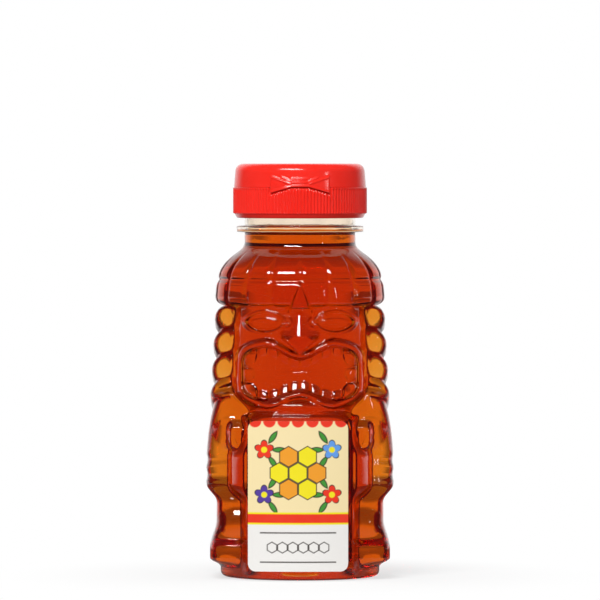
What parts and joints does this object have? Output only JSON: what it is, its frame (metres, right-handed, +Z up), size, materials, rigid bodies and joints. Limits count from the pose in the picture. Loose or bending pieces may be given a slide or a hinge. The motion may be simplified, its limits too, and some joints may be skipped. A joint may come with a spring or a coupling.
{
  "type": "squeeze honey bottle",
  "caption": "Clear squeeze bottle moulded as a tiki figure, filled with amber honey, with a front label and a red flip-top screw cap with a thumb lift and spout.",
  "frame": {"origin": "centre of the standing ring, on the surface that the bottle stands on", "axes": "+Z up along the neck's axis, the figure's face and the label look along -Y, +X is to the right seen from the front"},
  "size_m": [0.058, 0.0527, 0.1279],
  "materials": {
    "clear_pet": "clear, glossy blow-moulded PET",
    "honey": "clear amber liquid",
    "label_film": "printed film with a satin face",
    "liner_foam": "white foam liner",
    "red_plastic": "moulded polypropylene, semi-gloss"
  },
  "bodies": {
    "bottle": {"bottle": "clear_pet", "honey": "honey", "label": "label_film"},
    "liner": {"liner": "liner_foam"},
    "cap": {"cap_base": "red_plastic", "living_hinge": "red_plastic"},
    "lid": {"flip_lid": "red_plastic"}
  },
  "joints": [
    {"name": "cap_lift", "type": "slide", "parent": "bottle", "child": "liner", "axis": [0, 0, 1], "range_m": [0, 0.0096]},
    {"name": "cap_turn", "type": "hinge", "parent": "liner", "child": "cap", "pos_m": [0, 0, 0.1193], "axis": [0, 0, 1], "range_deg": [0, 810]},
    {"name": "lid_flip", "type": "hinge", "parent": "cap", "child": "lid", "pos_m": [0, 0.0217, 0.12075], "axis": [-1, 0, 0], "range_deg": [0, 160], "deforming": ["living_hinge"]}
  ],
  "couplings": [
    {"joint": "cap_lift", "follows": "cap_turn", "m_per_rad": 0.00067373}
  ]
}
